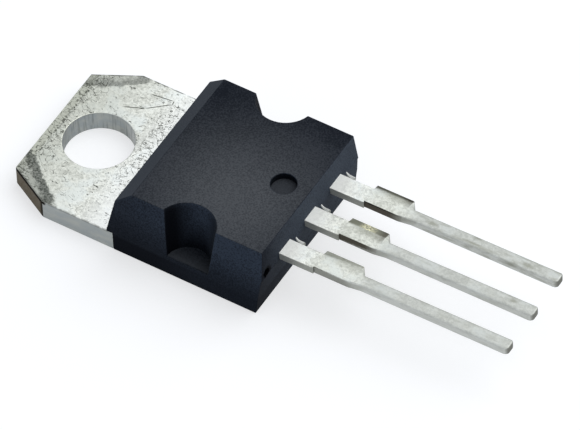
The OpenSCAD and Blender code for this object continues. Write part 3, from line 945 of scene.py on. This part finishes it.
sideLeads = (("base_lead", "baseLead", baseRow), ("emitter_lead", "emitterLead", emitterRow))
for nodeName, pieceName, rowY in sideLeads:
    lead = cadCopy(nodeName, pieceName)
    roundEdges(lead, leadRadius, leadEdges["pin"], leadEdges["segments"])
    addBurr(lead, rowY)
    finishPiece(lead, nodeName, tinMaterial)

# pieces inside the moulding keep their CAD shape; sizes of their patterns are in mm
inside = dict(
    # polished silicon with printed metal fingers: blue-grey and mirror-like
    silicon_die=dict(
        name="polishedSilicon", base="#59616d", marks="#a9aeb4", size=(8.0, 0.11, 8.0), rough=0.15),
    # reflowed soft solder: dull grey with a frosty mottle
    die_solder=dict(
        name="frostedSolder", base="#85878b", marks="#a6a8ab", size=(0.3, 0.3, 0.3), rough=0.5),
    # drawn aluminium wire: bright, with fine lines along it
    base_bond_wire=dict(
        name="drawnAluminiumThin", base="#c3c5c8", marks="#dcdee0", size=(1.5, 0.05, 0.05), rough=0.3),
    emitter_bond_wire=dict(
        name="drawnAluminiumThick", base="#c3c5c8", marks="#dcdee0", size=(1.5, 0.06, 0.06), rough=0.3),
)
innerRanges = dict(
    marks=(0.42, 0.58),
    rough=(0.3, 0.7),
    spread=(0.8, 1.2),  # shares of the roughness at those two
)


def makeInner(look):
    material, tree, shader = startMaterial(look["name"])
    point = addNode(tree, "TexCoord", (), out=None)["Object"]
    scaled = addNode(tree, "Mapping", {"Vector": point, "Scale": scalesFor(look["size"])})
    noise = addNode(tree, "TexNoise", {"Vector": scaled, "Scale": 1.0, "Detail": 2.0})
    mask = addNode(tree, "MapRange", (noise, *innerRanges["marks"]))
    spread = [look["rough"] * share for share in innerRanges["spread"]]
    rough = addNode(tree, "MapRange", (noise, *innerRanges["rough"], *spread))
    color = layColors(tree, look, "base", ((mask, "marks"),))
    tree.links.new(color, shader.inputs["Base Color"])
    tree.links.new(rough, shader.inputs["Roughness"])
    shader.inputs["Metallic"].default_value = 1.0
    return material


for nodeName, look in inside.items():
    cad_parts[nodeName].data.materials[0] = makeInner(look)
print("materials done: chip, solder and wires")

# floor, light and camera
studio = dict(
    floor="#b8babd",
    floorSize=3.0,
    floorDrop=0.01 * mm,
    floorRough=0.9,
    backdrop="#ffffff",
    floorLift=0.6,  # brings the floor up to white where the camera and reflections see it
    world="#eef2f8",
    worldStrength=0.48,
    worldLift=0.42,  # makes the room pale where the camera and reflections see it
    keyFrom=Vector((0.4, 0.45, 0.8)),
    keyDistance=0.55,
    keySize=0.7,
    keyRadiance=1.7,
)
view = dict(
    azimuth=32.545,
    elevation=49.876,
    roll=-1.956,
    distance=372.4 * mm,
    lens=446.6,
    target=Vector((11.66, 0.086, 2.045)) * mm,
    clip=(0.01, 10),
)


def liftWhereSeen(tree, strength, lift):
    # adds the lift for rays from the camera and for reflected and passed-on rays
    rays = addNode(tree, "LightPath", (), out=None)
    seen = addNode(tree, "Math", (rays["Is Camera Ray"], rays["Is Glossy Ray"]), operation="MAXIMUM")
    seen = addNode(tree, "Math", (seen, rays["Is Transmission Ray"]), operation="MAXIMUM")
    return addNode(tree, "Math", (seen, lift, strength), operation="MULTIPLY_ADD")


def makeFloor():
    bpy.ops.object.select_all(action="DESELECT")
    bpy.ops.mesh.primitive_plane_add(size=studio["floorSize"], location=(0.0, 0.0, -studio["floorDrop"]))
    floor = bpy.context.object
    floor.name = "floor"
    bpy.ops.object.transform_apply(location=True)
    material, tree, shader = startMaterial("paleFloor")
    tree.links.new(liftWhereSeen(tree, 0.0, studio["floorLift"]), shader.inputs["Emission Strength"])
    shader.inputs["Emission Color"].default_value = linearFromHex(studio["backdrop"])
    shader.inputs["Base Color"].default_value = linearFromHex(studio["floor"])
    shader.inputs["Roughness"].default_value = studio["floorRough"]
    shader.inputs["Specular IOR Level"].default_value = 0.0
    floor.data.materials.append(material)


def makeLight():
    world = bpy.data.worlds.new("studioRoom")
    bpy.context.scene.world = world
    world.use_nodes = True
    tree = world.node_tree
    room = tree.nodes["Background"]
    room.inputs["Color"].default_value = linearFromHex(studio["world"])
    tree.links.new(liftWhereSeen(tree, studio["worldStrength"], studio["worldLift"]), room.inputs["Strength"])
    away = studio["keyFrom"].normalized()
    turn = away.to_track_quat("Z", "Y").to_euler()
    place = view["target"] + away * studio["keyDistance"]
    bpy.ops.object.light_add(type="AREA", location=place, rotation=turn)
    key = bpy.context.object
    key.name = "softbox"
    key.data.shape = "SQUARE"
    key.data.size = studio["keySize"]
    key.data.energy = studio["keyRadiance"] * math.pi * studio["keySize"] ** 2


def makeCamera():
    azimuth, elevation, roll = (math.radians(view[name]) for name in ("azimuth", "elevation", "roll"))
    turn = Matrix.Rotation(azimuth, 3, "Z") @ Matrix.Rotation(math.pi / 2 - elevation, 3, "X")
    turn = turn @ Matrix.Rotation(roll, 3, "Z")
    place = view["target"] + turn @ Vector((0, 0, view["distance"]))
    bpy.ops.object.camera_add(location=place, rotation=turn.to_euler())
    camera = bpy.context.object
    camera.data.lens = view["lens"]
    camera.data.clip_start, camera.data.clip_end = view["clip"]
    bpy.context.scene.camera = camera


makeFloor()
makeLight()
makeCamera()
bpy.context.scene.view_settings.view_transform = "Standard"
print("studio done")
